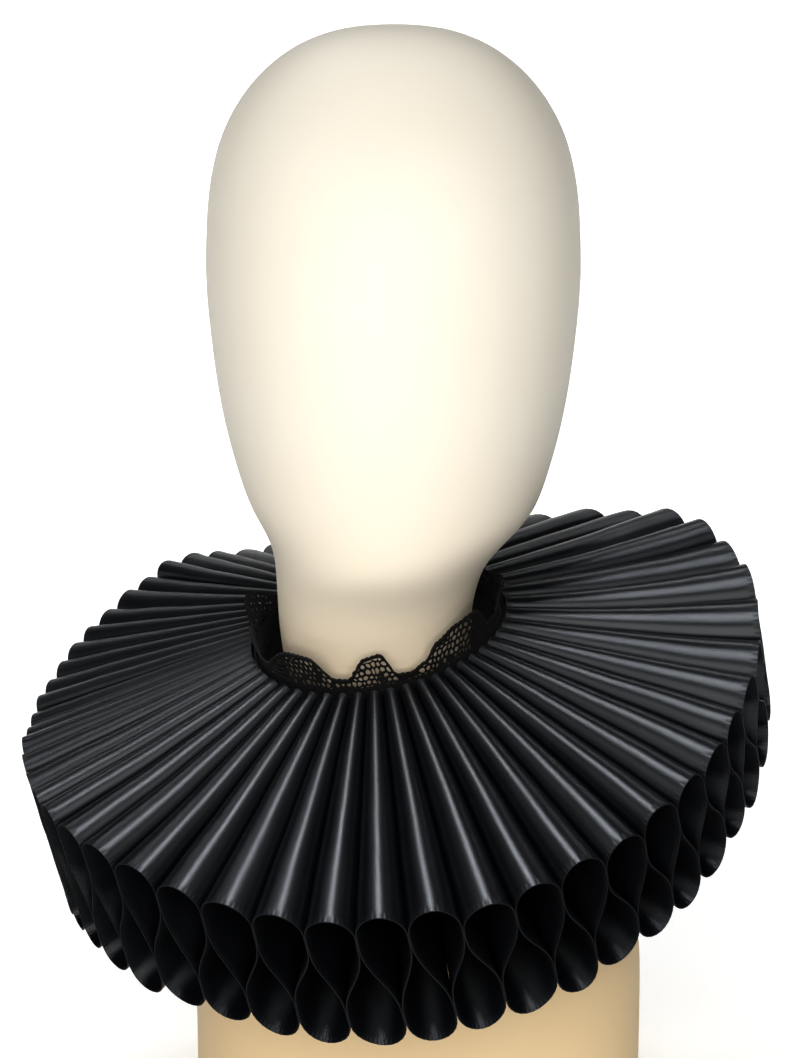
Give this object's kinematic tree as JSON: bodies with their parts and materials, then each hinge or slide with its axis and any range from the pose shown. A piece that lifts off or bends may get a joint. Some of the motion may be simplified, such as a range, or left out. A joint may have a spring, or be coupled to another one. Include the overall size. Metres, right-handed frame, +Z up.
{
  "type": "ruff collar on a display head",
  "caption": "Round black satin ruff collar of figure-eight ribbon pleats with a lace edge at the neck, resting on a smooth head and neck display form.",
  "frame": {"origin": "centre of the flat underside of the display head's base", "axes": "+Z up; the wearer faces -Y; +X is the wearer's left, on the right in the picture"},
  "size_m": [0.3041, 0.2994, 0.4473],
  "materials": {
    "satin_ribbon": "black double-faced satin, soft sheen",
    "neckband_ribbon": "black ribbed ribbon, matt",
    "lace": "black scalloped openwork lace",
    "hook_wire": "black coated wire",
    "display_form": "smooth ivory moulded plastic, soft sheen"
  },
  "bodies": {
    "root": {"ruffle_right_back": "satin_ribbon", "ruffle_right_side": "satin_ribbon", "ruffle_front": "satin_ribbon", "ruffle_left": "satin_ribbon", "neckband": "neckband_ribbon", "lace_trim": "lace", "hook_upper": "hook_wire", "hook_lower": "hook_wire", "bar_upper": "hook_wire", "bar_lower": "hook_wire", "display_head": "display_form"}
  },
  "joints": []
}
